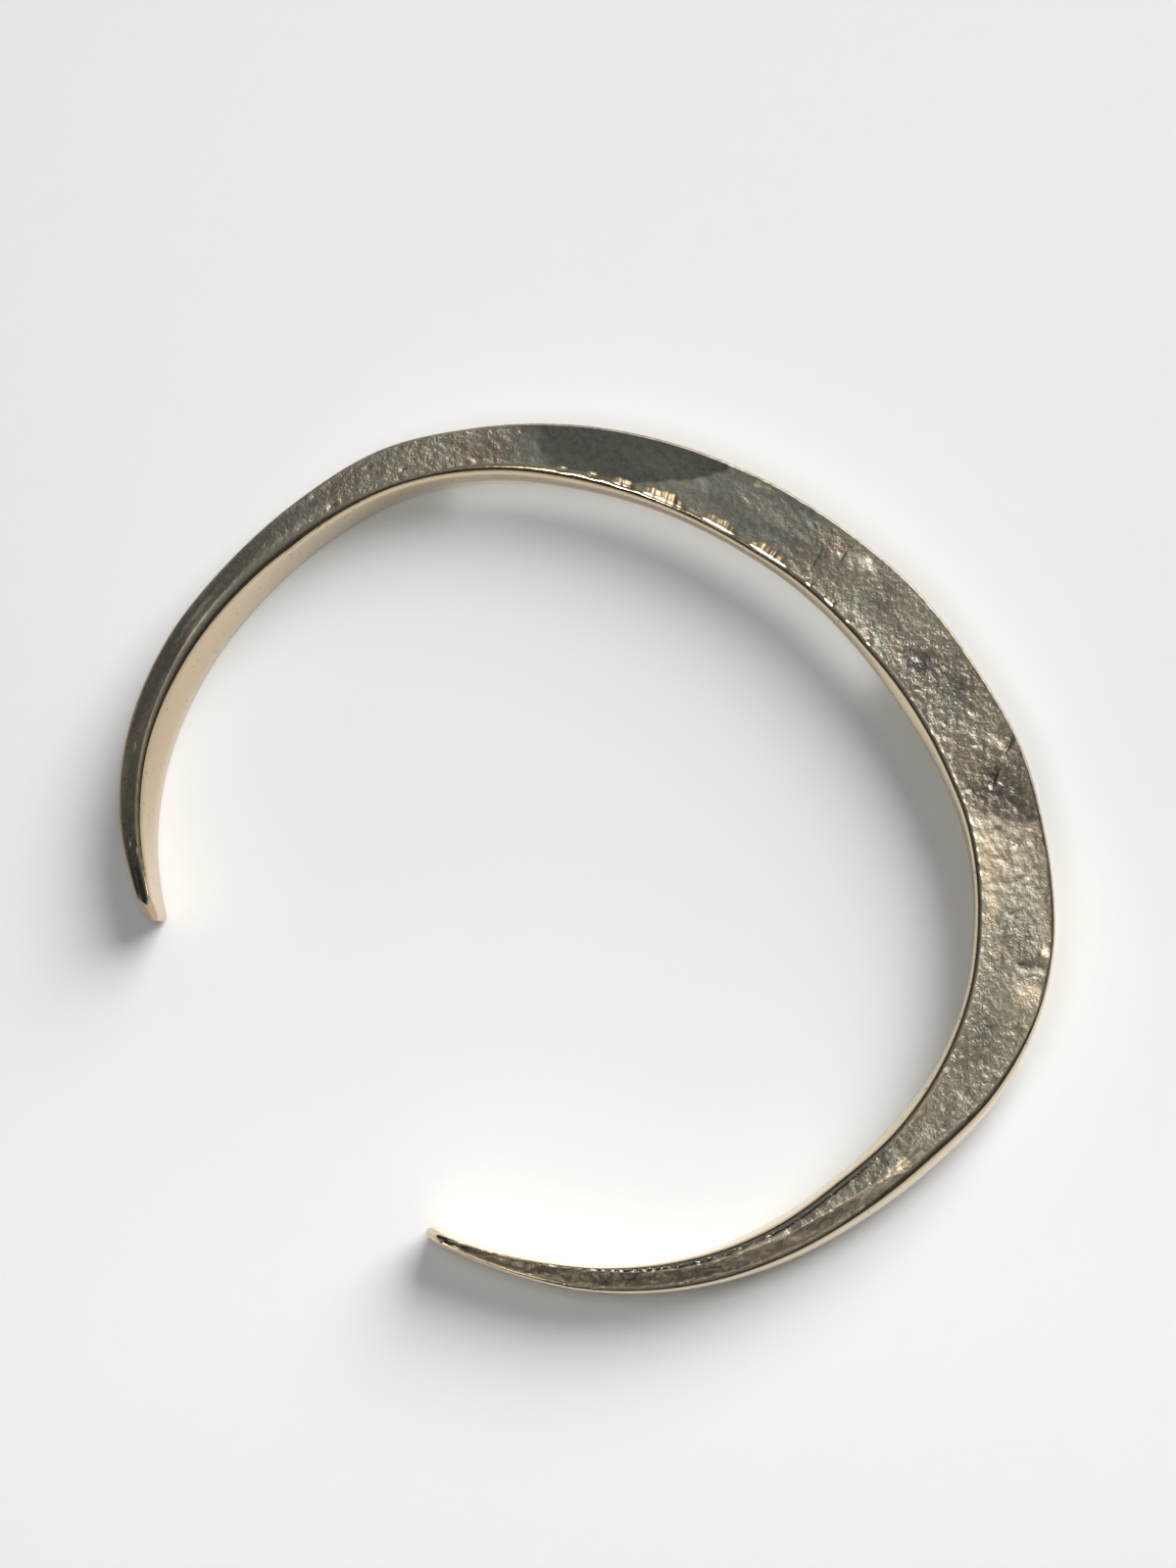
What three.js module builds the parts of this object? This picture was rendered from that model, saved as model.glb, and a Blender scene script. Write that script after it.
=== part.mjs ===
// Forged cuff bracelet in sterling silver: one open ring of solid bar, lying on its side.
// Millimetres, +Z up. The ring lies flat, its opening faces -Y and its back is at +Y.
// The origin is at the middle of the underside of the bounding box.
import * as THREE from 'three';

// ---- driving dimensions -------------------------------------------------------------------
const HEIGHT = 5.6;          // band width, which is the height of the ring as it lies
const TIP_A = 151.0;         // bearing of the left tip, degrees counter-clockwise from the back
const TIP_B = -150.7;        // bearing of the right tip
const NOSE = 1.5;            // length over which each tip is sloped and rounded off
const NOSE_DROP = 1.9;       // how far the top edge falls over the nose
const NOSE_POINT = 0.45;     // how much later the slope of a nose begins midway between the rims
const NOSE_LIFT = 0.35;      // how far the lower edge rises over the nose
const FOOT_ROUND = 0.38;     // rounding of the two lower edges
const LOW_BELLY = 1.7;       // a wall that bulges no higher than this stands upright below
const TUCK_SLOPE = 0.24;     // how fast the foot draws in under a belly higher than that
const HAMMER_DEPTH = 0.12;   // depth of the broad hammer dishes in the top face
const STATIONS = 150;        // cross-sections along the bar

// Plan of the bar. inner and outer are the radii of the two rims of the top face; flare_in and
// flare_out are how far the walls' bellies stand past those rims.
const PLAN = [
  { bearing: -151, inner: 29.15, outer: 29.55, flare_in: 0.20, flare_out: 0.60 },
  { bearing: -145, inner: 29.25, outer: 29.80, flare_in: 0.00, flare_out: 0.55 },
  { bearing: -136, inner: 29.35, outer: 30.25, flare_in: 0.00, flare_out: 0.60 },
  { bearing: -125, inner: 29.65, outer: 30.92, flare_in: 0.10, flare_out: 0.58 },
  { bearing: -113, inner: 30.10, outer: 31.35, flare_in: 0.50, flare_out: 0.70 },
  { bearing: -101, inner: 30.10, outer: 31.62, flare_in: 0.80, flare_out: 0.78 },
  { bearing: -90, inner: 29.80, outer: 31.82, flare_in: 0.75, flare_out: 0.88 },
  { bearing: -79, inner: 29.90, outer: 32.10, flare_in: 0.87, flare_out: 1.20 },
  { bearing: -68, inner: 29.70, outer: 33.20, flare_in: 0.68, flare_out: 0.90 },
  { bearing: -58, inner: 29.30, outer: 33.80, flare_in: 0.64, flare_out: 0.50 },
  { bearing: -49, inner: 28.70, outer: 33.65, flare_in: 0.67, flare_out: 0.30 },
  { bearing: -41, inner: 28.15, outer: 33.00, flare_in: 0.70, flare_out: 0.25 },
  { bearing: -33, inner: 27.50, outer: 32.30, flare_in: 0.77, flare_out: 0.25 },
  { bearing: -24, inner: 26.60, outer: 31.70, flare_in: 0.85, flare_out: 0.25 },
  { bearing: -12, inner: 25.70, outer: 30.60, flare_in: 0.97, flare_out: 0.25 },
  { bearing: 0, inner: 25.10, outer: 30.05, flare_in: 0.84, flare_out: 0.25 },
  { bearing: 14, inner: 25.05, outer: 29.55, flare_in: 0.80, flare_out: 0.25 },
  { bearing: 28, inner: 25.30, outer: 29.65, flare_in: 0.74, flare_out: 0.25 },
  { bearing: 42, inner: 26.30, outer: 30.20, flare_in: 0.84, flare_out: 0.25 },
  { bearing: 55, inner: 27.75, outer: 31.00, flare_in: 1.04, flare_out: 0.25 },
  { bearing: 68, inner: 29.35, outer: 31.95, flare_in: 0.94, flare_out: 0.25 },
  { bearing: 80, inner: 30.50, outer: 33.00, flare_in: 0.72, flare_out: 0.25 },
  { bearing: 92, inner: 31.45, outer: 33.30, flare_in: 0.94, flare_out: 0.25 },
  { bearing: 104, inner: 32.35, outer: 33.75, flare_in: 1.27, flare_out: 0.25 },
  { bearing: 116, inner: 33.05, outer: 34.45, flare_in: 1.32, flare_out: 0.25 },
  { bearing: 128, inner: 33.25, outer: 34.60, flare_in: 1.07, flare_out: 0.30 },
  { bearing: 138, inner: 32.85, outer: 34.05, flare_in: 0.60, flare_out: 0.30 },
  { bearing: 146, inner: 32.20, outer: 33.05, flare_in: 0.22, flare_out: 0.25 },
  { bearing: 152, inner: 31.60, outer: 32.20, flare_in: 0.02, flare_out: 0.25 },
];

// Edges of the top face, a row for each bearing, with its columns named below. round_in and
// round_out are the radii of its rims; crest is where its highest line runs, 0 at the inner rim
// and 1 at the outer; fall_in and fall_out are how far the rims lie below that line; belly_in
// and belly_out are the heights at which the two walls bulge furthest.
const EDGES = [
  [-151, 0.20, 0.20, 0.10, 0.02, 0.25, 1.70, 1.70],
  [-140, 0.25, 0.35, 0.08, 0.02, 0.35, 1.70, 1.90],
  [-125, 0.30, 0.55, 0.08, 0.02, 0.45, 1.70, 2.60],
  [-104, 0.50, 0.75, 0.12, 0.10, 0.50, 2.60, 3.40],
  [-90, 0.55, 0.95, 0.55, 0.40, 0.35, 3.20, 3.60],
  [-79, 0.55, 1.10, 0.85, 0.45, 0.10, 3.60, 3.60],
  [-68, 0.55, 0.85, 0.80, 0.15, 0.05, 4.00, 3.80],
  [-50, 0.60, 0.35, 0.50, 0.02, 0.04, 4.30, 3.80],
  [10, 0.60, 0.25, 0.50, 0.03, 0.06, 4.30, 2.40],
  [40, 0.75, 0.25, 0.50, 0.03, 0.06, 4.20, 2.40],
  [60, 1.05, 0.25, 0.40, 0.03, 0.10, 3.80, 2.20],
  [75, 1.05, 0.25, 0.30, 0.03, 0.20, 3.10, 1.90],
  [95, 0.95, 0.25, 0.20, 0.03, 0.35, 2.00, 1.70],
  [115, 0.75, 0.25, 0.12, 0.03, 0.45, 1.70, 1.70],
  [128, 0.40, 0.25, 0.10, 0.02, 0.50, 1.70, 1.70],
  [152, 0.20, 0.25, 0.12, 0.02, 0.30, 1.70, 1.70],
];
const EDGE_NAMES = ['bearing', 'round_in', 'round_out', 'crest', 'fall_in', 'fall_out', 'belly_in',
  'belly_out'];
const EDGE_ROWS = EDGES.map((row) => Object.fromEntries(row.map((v, i) => [EDGE_NAMES[i], v])));

// ---- helpers ------------------------------------------------------------------------------
// Smooth curve through the rows of a table: a cubic whose slope at each row is the mean of the
// slopes on its two sides, so that no value overshoots.
function readTable(rows, column, bearing) {
  const last = rows.length - 1;
  let i = 0;
  while (i < last - 1 && bearing > rows[i + 1].bearing) {
    i += 1;
  }
  const slope = (k) => {
    const before = Math.max(k - 1, 0);
    const after = Math.min(k + 1, last);
    const rise = rows[after][column] - rows[before][column];
    return rise / (rows[after].bearing - rows[before].bearing);
  };
  const span = rows[i + 1].bearing - rows[i].bearing;
  const t = THREE.MathUtils.clamp((bearing - rows[i].bearing) / span, 0, 1);
  const start = rows[i][column] * (1 + 2 * t) * (1 - t) ** 2 + slope(i) * span * t * (1 - t) ** 2;
  const end = rows[i + 1][column] * (3 - 2 * t) * t ** 2 - slope(i + 1) * span * (1 - t) * t ** 2;
  return start + end;
}

// Broad shallow dishes left by the hammer, at their deepest HAMMER_DEPTH below the face.
function dish(bearing, across) {
  const a = Math.sin(bearing * 0.21 + 2.3 * across + 0.6);
  const b = Math.sin(bearing * 0.37 - 3.1 * across + 1.9);
  const c = Math.sin(bearing * 0.093 + 5.2 * across);
  return HAMMER_DEPTH * (0.5 + (a + b + c) / 6);
}

// How far a bearing is into a nose: 0 on the bar, nearly 1 at the blunt end of the tip.
function noseDepth(bearing) {
  const degreesPerMm = 180 / (Math.PI * 31);
  const gap = Math.min(TIP_A - bearing, bearing - TIP_B) / degreesPerMm;
  return THREE.MathUtils.clamp(1 - gap / NOSE, 0, 0.985);
}

// Closed cross-section at a bearing, as [radius, height] pairs, counter-clockwise with the
// radius to the right: along the foot, up the outer wall, over the face, down the inner wall.
function section(bearing) {
  const plan = (name) => readTable(PLAN, name, bearing);
  const edge = (name) => readTable(EDGE_ROWS, name, bearing);
  const inner = plan('inner');
  const outer = plan('outer');
  const footIn = inner - plan('flare_in');
  const footOut = outer + plan('flare_out');
  const points = [];

  // Height of a wall's belly, and how far the foot below it is drawn in.
  const tuckUnder = (belly) => Math.max(TUCK_SLOPE * (belly - LOW_BELLY), 0);
  const bellyIn = edge('belly_in');
  const bellyOut = edge('belly_out');
  const soleIn = footIn + tuckUnder(bellyIn);
  const soleOut = footOut - tuckUnder(bellyOut);
  points.push([soleIn + FOOT_ROUND, 0]);
  points.push([(soleIn + soleOut) / 2, 0]);
  points.push([soleOut - FOOT_ROUND, 0]);
  points.push([soleOut - 0.3 * FOOT_ROUND, 0.3 * FOOT_ROUND]);

  // Wall from the sole out to its belly, from there in to the start of the rim's rounding, then
  // the last 60 degrees of that rounding.
  const wall = (foot, belly, rim, top, round, side) => {
    const reach = Math.max(side * (foot - rim), 0.3 * round);
    const shoulder = Math.min(0.87 * round, 0.75 * reach);
    const rest = side * (foot - rim) - shoulder;
    const low = top - 0.5 * round;
    const list = [];
    for (const t of [0, 0.5, 1]) {
      const away = side * tuckUnder(belly) * (1 - t) ** 1.3;
      list.push([foot - away, FOOT_ROUND + t * (belly - FOOT_ROUND)]);
    }
    for (const t of [0.4, 0.75, 1]) {
      const bow = 1 - t ** 1.25;
      list.push([rim + side * (shoulder + rest * bow), belly + t * (low - belly)]);
    }
    for (const angle of [50, 70]) {
      const a = THREE.MathUtils.degToRad(angle);
      const out = shoulder * Math.cos(a) / Math.cos(Math.PI / 6);
      list.push([rim + side * out, low + 0.5 * round * (2 * Math.sin(a) - 1)]);
    }
    return list;
  };

  const fallIn = edge('fall_in');
  const fallOut = edge('fall_out');
  const crest = edge('crest');
  points.push(...wall(footOut, bellyOut, outer, HEIGHT - fallOut, edge('round_out'), 1));
  for (const across of [1, 0.8, 0.6, 0.4, 0.2, 0]) {
    const side = across > crest ? (across - crest) / (1 - crest) : (crest - across) / crest;
    const fall = (across > crest ? fallOut : fallIn) * side ** 1.6;
    const inside = 1 - Math.abs(2 * across - 1) ** 3;
    const z = HEIGHT - fall - inside * dish(bearing, across);
    points.push([inner + across * (outer - inner), z]);
  }
  points.push(...wall(footIn, bellyIn, inner, HEIGHT - fallIn, edge('round_in'), -1).reverse());
  points.push([soleIn + 0.3 * FOOT_ROUND, 0.3 * FOOT_ROUND]);

  const depth = noseDepth(bearing);
  const width = (1 - depth ** 4) ** 0.25;
  const low = NOSE_LIFT * (1 - Math.sqrt(1 - depth ** 2));
  const middle = (footIn + footOut) / 2;
  return points.map(([radius, height]) => {
    const off = (2 * radius - inner - outer) / (outer - inner);
    const late = NOSE_POINT * Math.max(1 - off ** 2, 0) * (1 - depth);
    const high = HEIGHT - NOSE_DROP * Math.max(depth - late, 0) ** 1.3;
    const z = low + (height / HEIGHT) * (high - low);
    return [middle + (radius - middle) * width, z];
  });
}

// Bearings of the cross-sections: even along the bar, closing up over the two noses.
function stationBearings() {
  const noseSpan = NOSE * 180 / (Math.PI * 31);
  const steps = [0, 0.03, 0.1, 0.2, 0.34, 0.52, 0.75];
  const list = steps.map((s) => TIP_B + s * noseSpan);
  const start = TIP_B + noseSpan;
  const end = TIP_A - noseSpan;
  for (let i = 0; i < STATIONS; i += 1) {
    list.push(start + (end - start) * i / (STATIONS - 1));
  }
  list.push(...steps.map((s) => TIP_A - s * noseSpan).reverse());
  return list;
}

// Loft through all the sections, closed at both ends by a fan.
function cuffGeometry() {
  const bearings = stationBearings();
  const rings = bearings.map((bearing) => {
    const a = THREE.MathUtils.degToRad(90 + bearing);
    return section(bearing).map(([radius, z]) => [radius * Math.cos(a), radius * Math.sin(a), z]);
  });
  const count = rings[0].length;
  const positions = rings.flat(2);
  const indices = [];
  for (let i = 0; i < rings.length - 1; i += 1) {
    for (let j = 0; j < count; j += 1) {
      const next = (j + 1) % count;
      const a = i * count + j;
      const b = i * count + next;
      const c = (i + 1) * count + next;
      const d = (i + 1) * count + j;
      indices.push(a, d, c, a, c, b);
    }
  }
  for (const ring of [0, rings.length - 1]) {
    const centre = positions.length / 3;
    for (let axis = 0; axis < 3; axis += 1) {
      const sum = rings[ring].reduce((total, point) => total + point[axis], 0);
      positions.push(sum / count);
    }
    for (let j = 0; j < count; j += 1) {
      const here = ring * count + j;
      const next = ring * count + (j + 1) % count;
      indices.push(...(ring === 0 ? [centre, here, next] : [centre, next, here]));
    }
  }
  const geometry = new THREE.BufferGeometry();
  geometry.setAttribute('position', new THREE.Float32BufferAttribute(positions, 3));
  geometry.setIndex(indices);
  geometry.computeBoundingBox();
  const box = geometry.boundingBox;
  geometry.translate(-(box.min.x + box.max.x) / 2, -(box.min.y + box.max.y) / 2, -box.min.z);
  geometry.computeVertexNormals();
  return geometry;
}

const silver = new THREE.MeshStandardMaterial({
  name: 'forged_silver',
  color: 0xa8a294,
  roughness: 0.28,
  metalness: 1,
});

const cuff = new THREE.Mesh(cuffGeometry(), silver);
cuff.name = 'forged_cuff';

const bracelet = new THREE.Group();
bracelet.name = 'cuff_bracelet';
bracelet.add(cuff);

export default bracelet;
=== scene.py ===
"""A forged and hammered silver cuff, lying on its side on a pale floor.

Lengths in the tables are millimetres and bearings are degrees, counter-clockwise from the back
of the cuff. The cuff is one closed surface: a cross-section carried round an open ring, with its
hammered face pressed in along its normal.
"""
import math

import bpy
import numpy as np
from mathutils import Matrix, Vector


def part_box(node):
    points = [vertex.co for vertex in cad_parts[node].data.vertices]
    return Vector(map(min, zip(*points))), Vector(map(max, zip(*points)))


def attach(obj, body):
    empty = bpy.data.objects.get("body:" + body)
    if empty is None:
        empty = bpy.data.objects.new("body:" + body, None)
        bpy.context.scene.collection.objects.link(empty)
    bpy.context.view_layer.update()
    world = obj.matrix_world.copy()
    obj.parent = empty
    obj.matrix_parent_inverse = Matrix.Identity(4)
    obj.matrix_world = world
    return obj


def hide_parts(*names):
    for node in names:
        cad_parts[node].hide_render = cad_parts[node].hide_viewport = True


bl_info = {
    "name": "Hammered silver cuff",
    "version": (1, 0, 0),
    "blender": (4, 5, 0),
    "location": "3D View > Sidebar > Cuff",
    "description": "An open cuff bracelet forged from one bar, with its floor, lights and camera",
    "category": "Object",
}

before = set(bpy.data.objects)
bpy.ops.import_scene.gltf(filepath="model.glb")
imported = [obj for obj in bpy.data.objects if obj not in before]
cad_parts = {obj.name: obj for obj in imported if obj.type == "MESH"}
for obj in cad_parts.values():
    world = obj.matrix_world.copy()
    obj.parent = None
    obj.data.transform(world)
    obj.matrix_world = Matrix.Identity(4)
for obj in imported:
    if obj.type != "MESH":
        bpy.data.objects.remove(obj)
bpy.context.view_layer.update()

MM = 0.001
NODE = "forged_cuff"
HEIGHT = 5.6          # width of the band, the height of the ring as it lies
TIP_LEFT = 151.0      # bearings of the two tips
TIP_RIGHT = -150.7
BAR_RADIUS = 31.0     # radius at which bearings are turned into lengths along the bar
FACE_RADIUS = 29.0    # the same for lengths on the face, near its inner rim
NOSE = 1.5            # length over which a tip is sloped and rounded off
NOSE_POINT = 0.45     # how much later the slope of a nose begins midway between the rims
NOSE_DROP = 1.9       # fall of the top edge over the nose
NOSE_LIFT = 0.35      # rise of the lower edge over the nose
FOOT_ROUND = 0.38     # rounding of the two lower edges
LOW_BELLY = 1.7       # a wall that bulges no higher than this stands upright below
TUCK_SLOPE = 0.24     # how fast the foot draws in under a belly higher than that
DISH_DEPTH = 0.12     # depth of the broad dishes that the hammer left across the face
HIGHLIGHT_LINE = 0.07      # half width of the bright line along a crest or a rim, worn silver and a painted highlight
HIGHLIGHT_EDGE = 0.10      # the same for the wider painted highlight by the inner rim of the left arm
DARK_RIM = 0.13       # half width of the painted dark line along the inner rim of the right arm, a painted reflection of the dark room

# Radii of the two rims of the face, and how far the walls' bellies stand past them.
PLAN = (
    ("bearing", "inner", "outer", "flare_in", "flare_out"),
    (-151, 29.15, 29.55, 0.20, 0.60),
    (-145, 29.25, 29.80, 0.00, 0.55),
    (-136, 29.35, 30.25, 0.00, 0.60),
    (-125, 29.65, 30.92, 0.10, 0.58),
    (-113, 30.10, 31.35, 0.50, 0.70),
    (-101, 30.10, 31.62, 0.80, 0.78),
    (-90, 29.80, 31.82, 0.75, 0.88),
    (-79, 29.90, 32.10, 0.87, 1.20),
    (-68, 29.70, 33.20, 0.68, 0.90),
    (-58, 29.30, 33.80, 0.64, 0.50),
    (-49, 28.70, 33.65, 0.67, 0.30),
    (-41, 28.15, 33.00, 0.70, 0.25),
    (-33, 27.50, 32.30, 0.77, 0.25),
    (-24, 26.60, 31.70, 0.85, 0.25),
    (-12, 25.70, 30.60, 0.97, 0.25),
    (0, 25.10, 30.05, 0.84, 0.25),
    (14, 25.05, 29.55, 0.80, 0.25),
    (28, 25.30, 29.65, 0.74, 0.25),
    (42, 26.30, 30.20, 0.84, 0.25),
    (55, 27.75, 31.00, 1.04, 0.25),
    (68, 29.35, 31.95, 0.94, 0.25),
    (80, 30.50, 33.00, 0.72, 0.25),
    (92, 31.45, 33.30, 0.94, 0.25),
    (104, 32.35, 33.75, 1.27, 0.25),
    (116, 33.05, 34.45, 1.32, 0.25),
    (128, 33.25, 34.60, 1.07, 0.30),
    (138, 32.85, 34.05, 0.60, 0.30),
    (146, 32.20, 33.05, 0.22, 0.25),
    (152, 31.60, 32.20, 0.02, 0.25),
)

# Rim radii, where the face's highest line runs (0 at the inner rim, 1 at the outer), how far the
# two rims lie below it, and the heights at which the walls bulge furthest.
EDGES = (
    ("bearing", "round_in", "round_out", "crest", "fall_in", "fall_out", "belly_in", "belly_out"),
    (-151, 0.20, 0.20, 0.10, 0.02, 0.25, 1.70, 1.70),
    (-140, 0.25, 0.35, 0.08, 0.02, 0.35, 1.70, 1.90),
    (-125, 0.30, 0.55, 0.14, 0.12, 0.45, 1.70, 2.60),
    (-104, 0.50, 0.75, 0.26, 0.30, 0.50, 2.60, 3.40),
    (-90, 0.55, 0.95, 0.55, 0.40, 0.35, 3.20, 3.60),
    (-79, 0.55, 1.10, 0.85, 0.45, 0.10, 3.60, 3.60),
    (-68, 0.55, 0.85, 0.80, 0.15, 0.05, 4.00, 3.80),
    (-50, 0.60, 0.35, 0.50, 0.02, 0.04, 4.30, 3.80),
    (10, 0.60, 0.25, 0.50, 0.03, 0.06, 4.30, 2.40),
    (40, 0.75, 0.25, 0.50, 0.03, 0.06, 4.20, 2.40),
    (60, 1.05, 0.25, 0.40, 0.03, 0.10, 3.80, 2.20),
    (75, 1.05, 0.25, 0.30, 0.03, 0.20, 3.10, 1.90),
    (95, 0.95, 0.25, 0.20, 0.03, 0.35, 2.00, 1.70),
    (115, 0.75, 0.25, 0.12, 0.03, 0.45, 1.70, 1.70),
    (128, 0.40, 0.25, 0.10, 0.02, 0.50, 1.70, 1.70),
    (152, 0.20, 0.25, 0.12, 0.02, 0.30, 1.70, 1.70),
)

# What the hammer left on each stretch of the face. lumps and wrinkles are depths; grain is the
# strength of the finest texture, rough its roughness, dark its tarnish, warm its brown tint, and
# lean how many degrees it tips towards the outer rim.
FACE = (
    ("bearing", "lumps", "wrinkles", "grain", "rough", "dark", "warm", "lean"),
    (-150, 0.00, 0.00, 0.10, 0.12, 0.60, 0.20, 0),
    (-146, 0.02, 0.01, 0.20, 0.16, 0.50, 0.30, 0),
    (-141, 0.05, 0.02, 0.60, 0.34, 0.35, 0.50, 0),
    (-132, 0.09, 0.04, 0.80, 0.36, 0.65, 0.35, 0),
    (-118, 0.10, 0.05, 0.80, 0.40, 0.52, 0.30, 0),
    (-108, 0.10, 0.05, 0.80, 0.40, 0.35, 0.25, 0),
    (-97, 0.09, 0.04, 0.80, 0.42, 0.25, 0.25, 0),
    (-87, 0.07, 0.03, 0.90, 0.40, 0.25, 0.10, 0),
    (-77, 0.09, 0.03, 1.00, 0.42, 0.25, 0.10, 0),
    (-66, 0.08, 0.03, 1.00, 0.42, 0.30, 0.00, 0),
    (-56, 0.05, 0.02, 1.00, 0.42, 0.20, 0.20, 0),
    (-49, 0.07, 0.03, 1.00, 0.46, 0.10, 0.20, 1),
    (-43, 0.09, 0.05, 1.00, 0.53, -0.05, 0.30, 2),
    (-33, 0.10, 0.05, 1.00, 0.53, -0.05, 0.35, 2),
    (-32, 0.08, 0.03, 0.80, 0.38, 0.34, 0.60, 1.5),
    (-27, 0.07, 0.03, 0.80, 0.37, 0.50, 0.60, 0),
    (-20, 0.07, 0.03, 0.80, 0.37, 0.38, 0.45, 0),
    (-11, 0.06, 0.02, 0.80, 0.35, 0.45, 0.20, 0),
    (-2, 0.05, 0.01, 0.80, 0.36, 0.30, 0.10, 0),
    (7, 0.04, 0.01, 0.70, 0.36, 0.22, 0.20, 0),
    (14, 0.04, 0.02, 0.60, 0.36, 0.35, 0.50, 0),
    (20, 0.03, 0.01, 0.40, 0.33, 0.32, 0.10, 0),
    (31, 0.02, 0.00, 0.30, 0.33, 0.28, 0.00, 0),
    (46, 0.02, 0.00, 0.30, 0.34, 0.15, 0.00, 0),
    (60, 0.02, 0.00, 0.30, 0.33, 0.15, 0.10, 0),
    (64, 0.04, 0.01, 0.60, 0.34, 0.30, 0.50, 0),
    (72, 0.04, 0.01, 0.70, 0.35, 0.15, 0.40, 0),
    (92, 0.03, 0.01, 0.70, 0.38, 0.15, 0.10, 0),
    (103, 0.02, 0.00, 0.60, 0.37, 0.20, 0.00, 0),
    (114, 0.02, 0.00, 0.50, 0.35, 0.25, 0.00, 0),
    (128, 0.02, 0.00, 0.50, 0.37, 0.25, 0.00, 0),
    (141, 0.01, 0.00, 0.40, 0.34, 0.30, 0.00, 0),
    (145, 0.00, 0.00, 0.20, 0.24, 0.40, 0.00, 0),
    (150, 0.00, 0.00, 0.10, 0.12, 0.60, 0.20, 0),
)

# Single creases and dents of the face. across runs from 0 at the inner rim to 1 at the outer,
# turn is the mark's angle from the direction along the bar, and a negative depth stands up.
MARKS = (
    ("bearing", "across", "length", "width", "turn", "depth"),
    (-23.2, 0.86, 1.9, 0.26, 43, 0.16),
    (-26.7, 0.54, 1.8, 0.24, 36, 0.15),
    (-24.6, 0.72, 1.4, 0.70, 43, -0.07),
    (-28.2, 0.14, 0.8, 0.50, 20, 0.12),
    (-29.5, 0.45, 1.6, 0.60, 80, 0.02),
    (-34.6, 0.30, 1.2, 0.22, 60, 0.11),
    (-36.2, 0.62, 1.3, 0.22, 55, 0.12),
    (-38.0, 0.35, 1.1, 0.22, 60, 0.12),
    (-39.8, 0.78, 1.0, 0.20, 50, 0.12),
    (-41.2, 0.52, 1.2, 0.24, 62, 0.12),
    (-43.5, 0.85, 1.0, 0.20, 48, 0.11),
    (-45.6, 0.45, 1.1, 0.22, 60, 0.10),
    (-51.9, 0.80, 2.0, 0.50, 82, 0.11),
    (-50.0, 0.93, 0.9, 0.50, 70, -0.12),
    (-7.7, 0.40, 1.8, 1.30, 30, 0.04),
    (9.0, 0.80, 1.2, 0.80, 60, -0.07),
    (12.0, 0.60, 2.2, 0.30, 85, 0.07),
    (15.0, 0.40, 2.0, 0.30, 80, 0.07),
    (69.5, 0.12, 0.4, 0.30, 0, -0.06),
    (78.5, 0.30, 0.4, 0.35, 0, 0.08),
    (82.5, 0.75, 0.4, 0.35, 0, 0.08),
    (89.0, 0.20, 0.5, 0.40, 0, 0.08),
    (91.0, 0.90, 0.4, 0.30, 0, -0.06),
    (129.3, 0.60, 0.45, 0.40, 0, 0.09),
)
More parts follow.
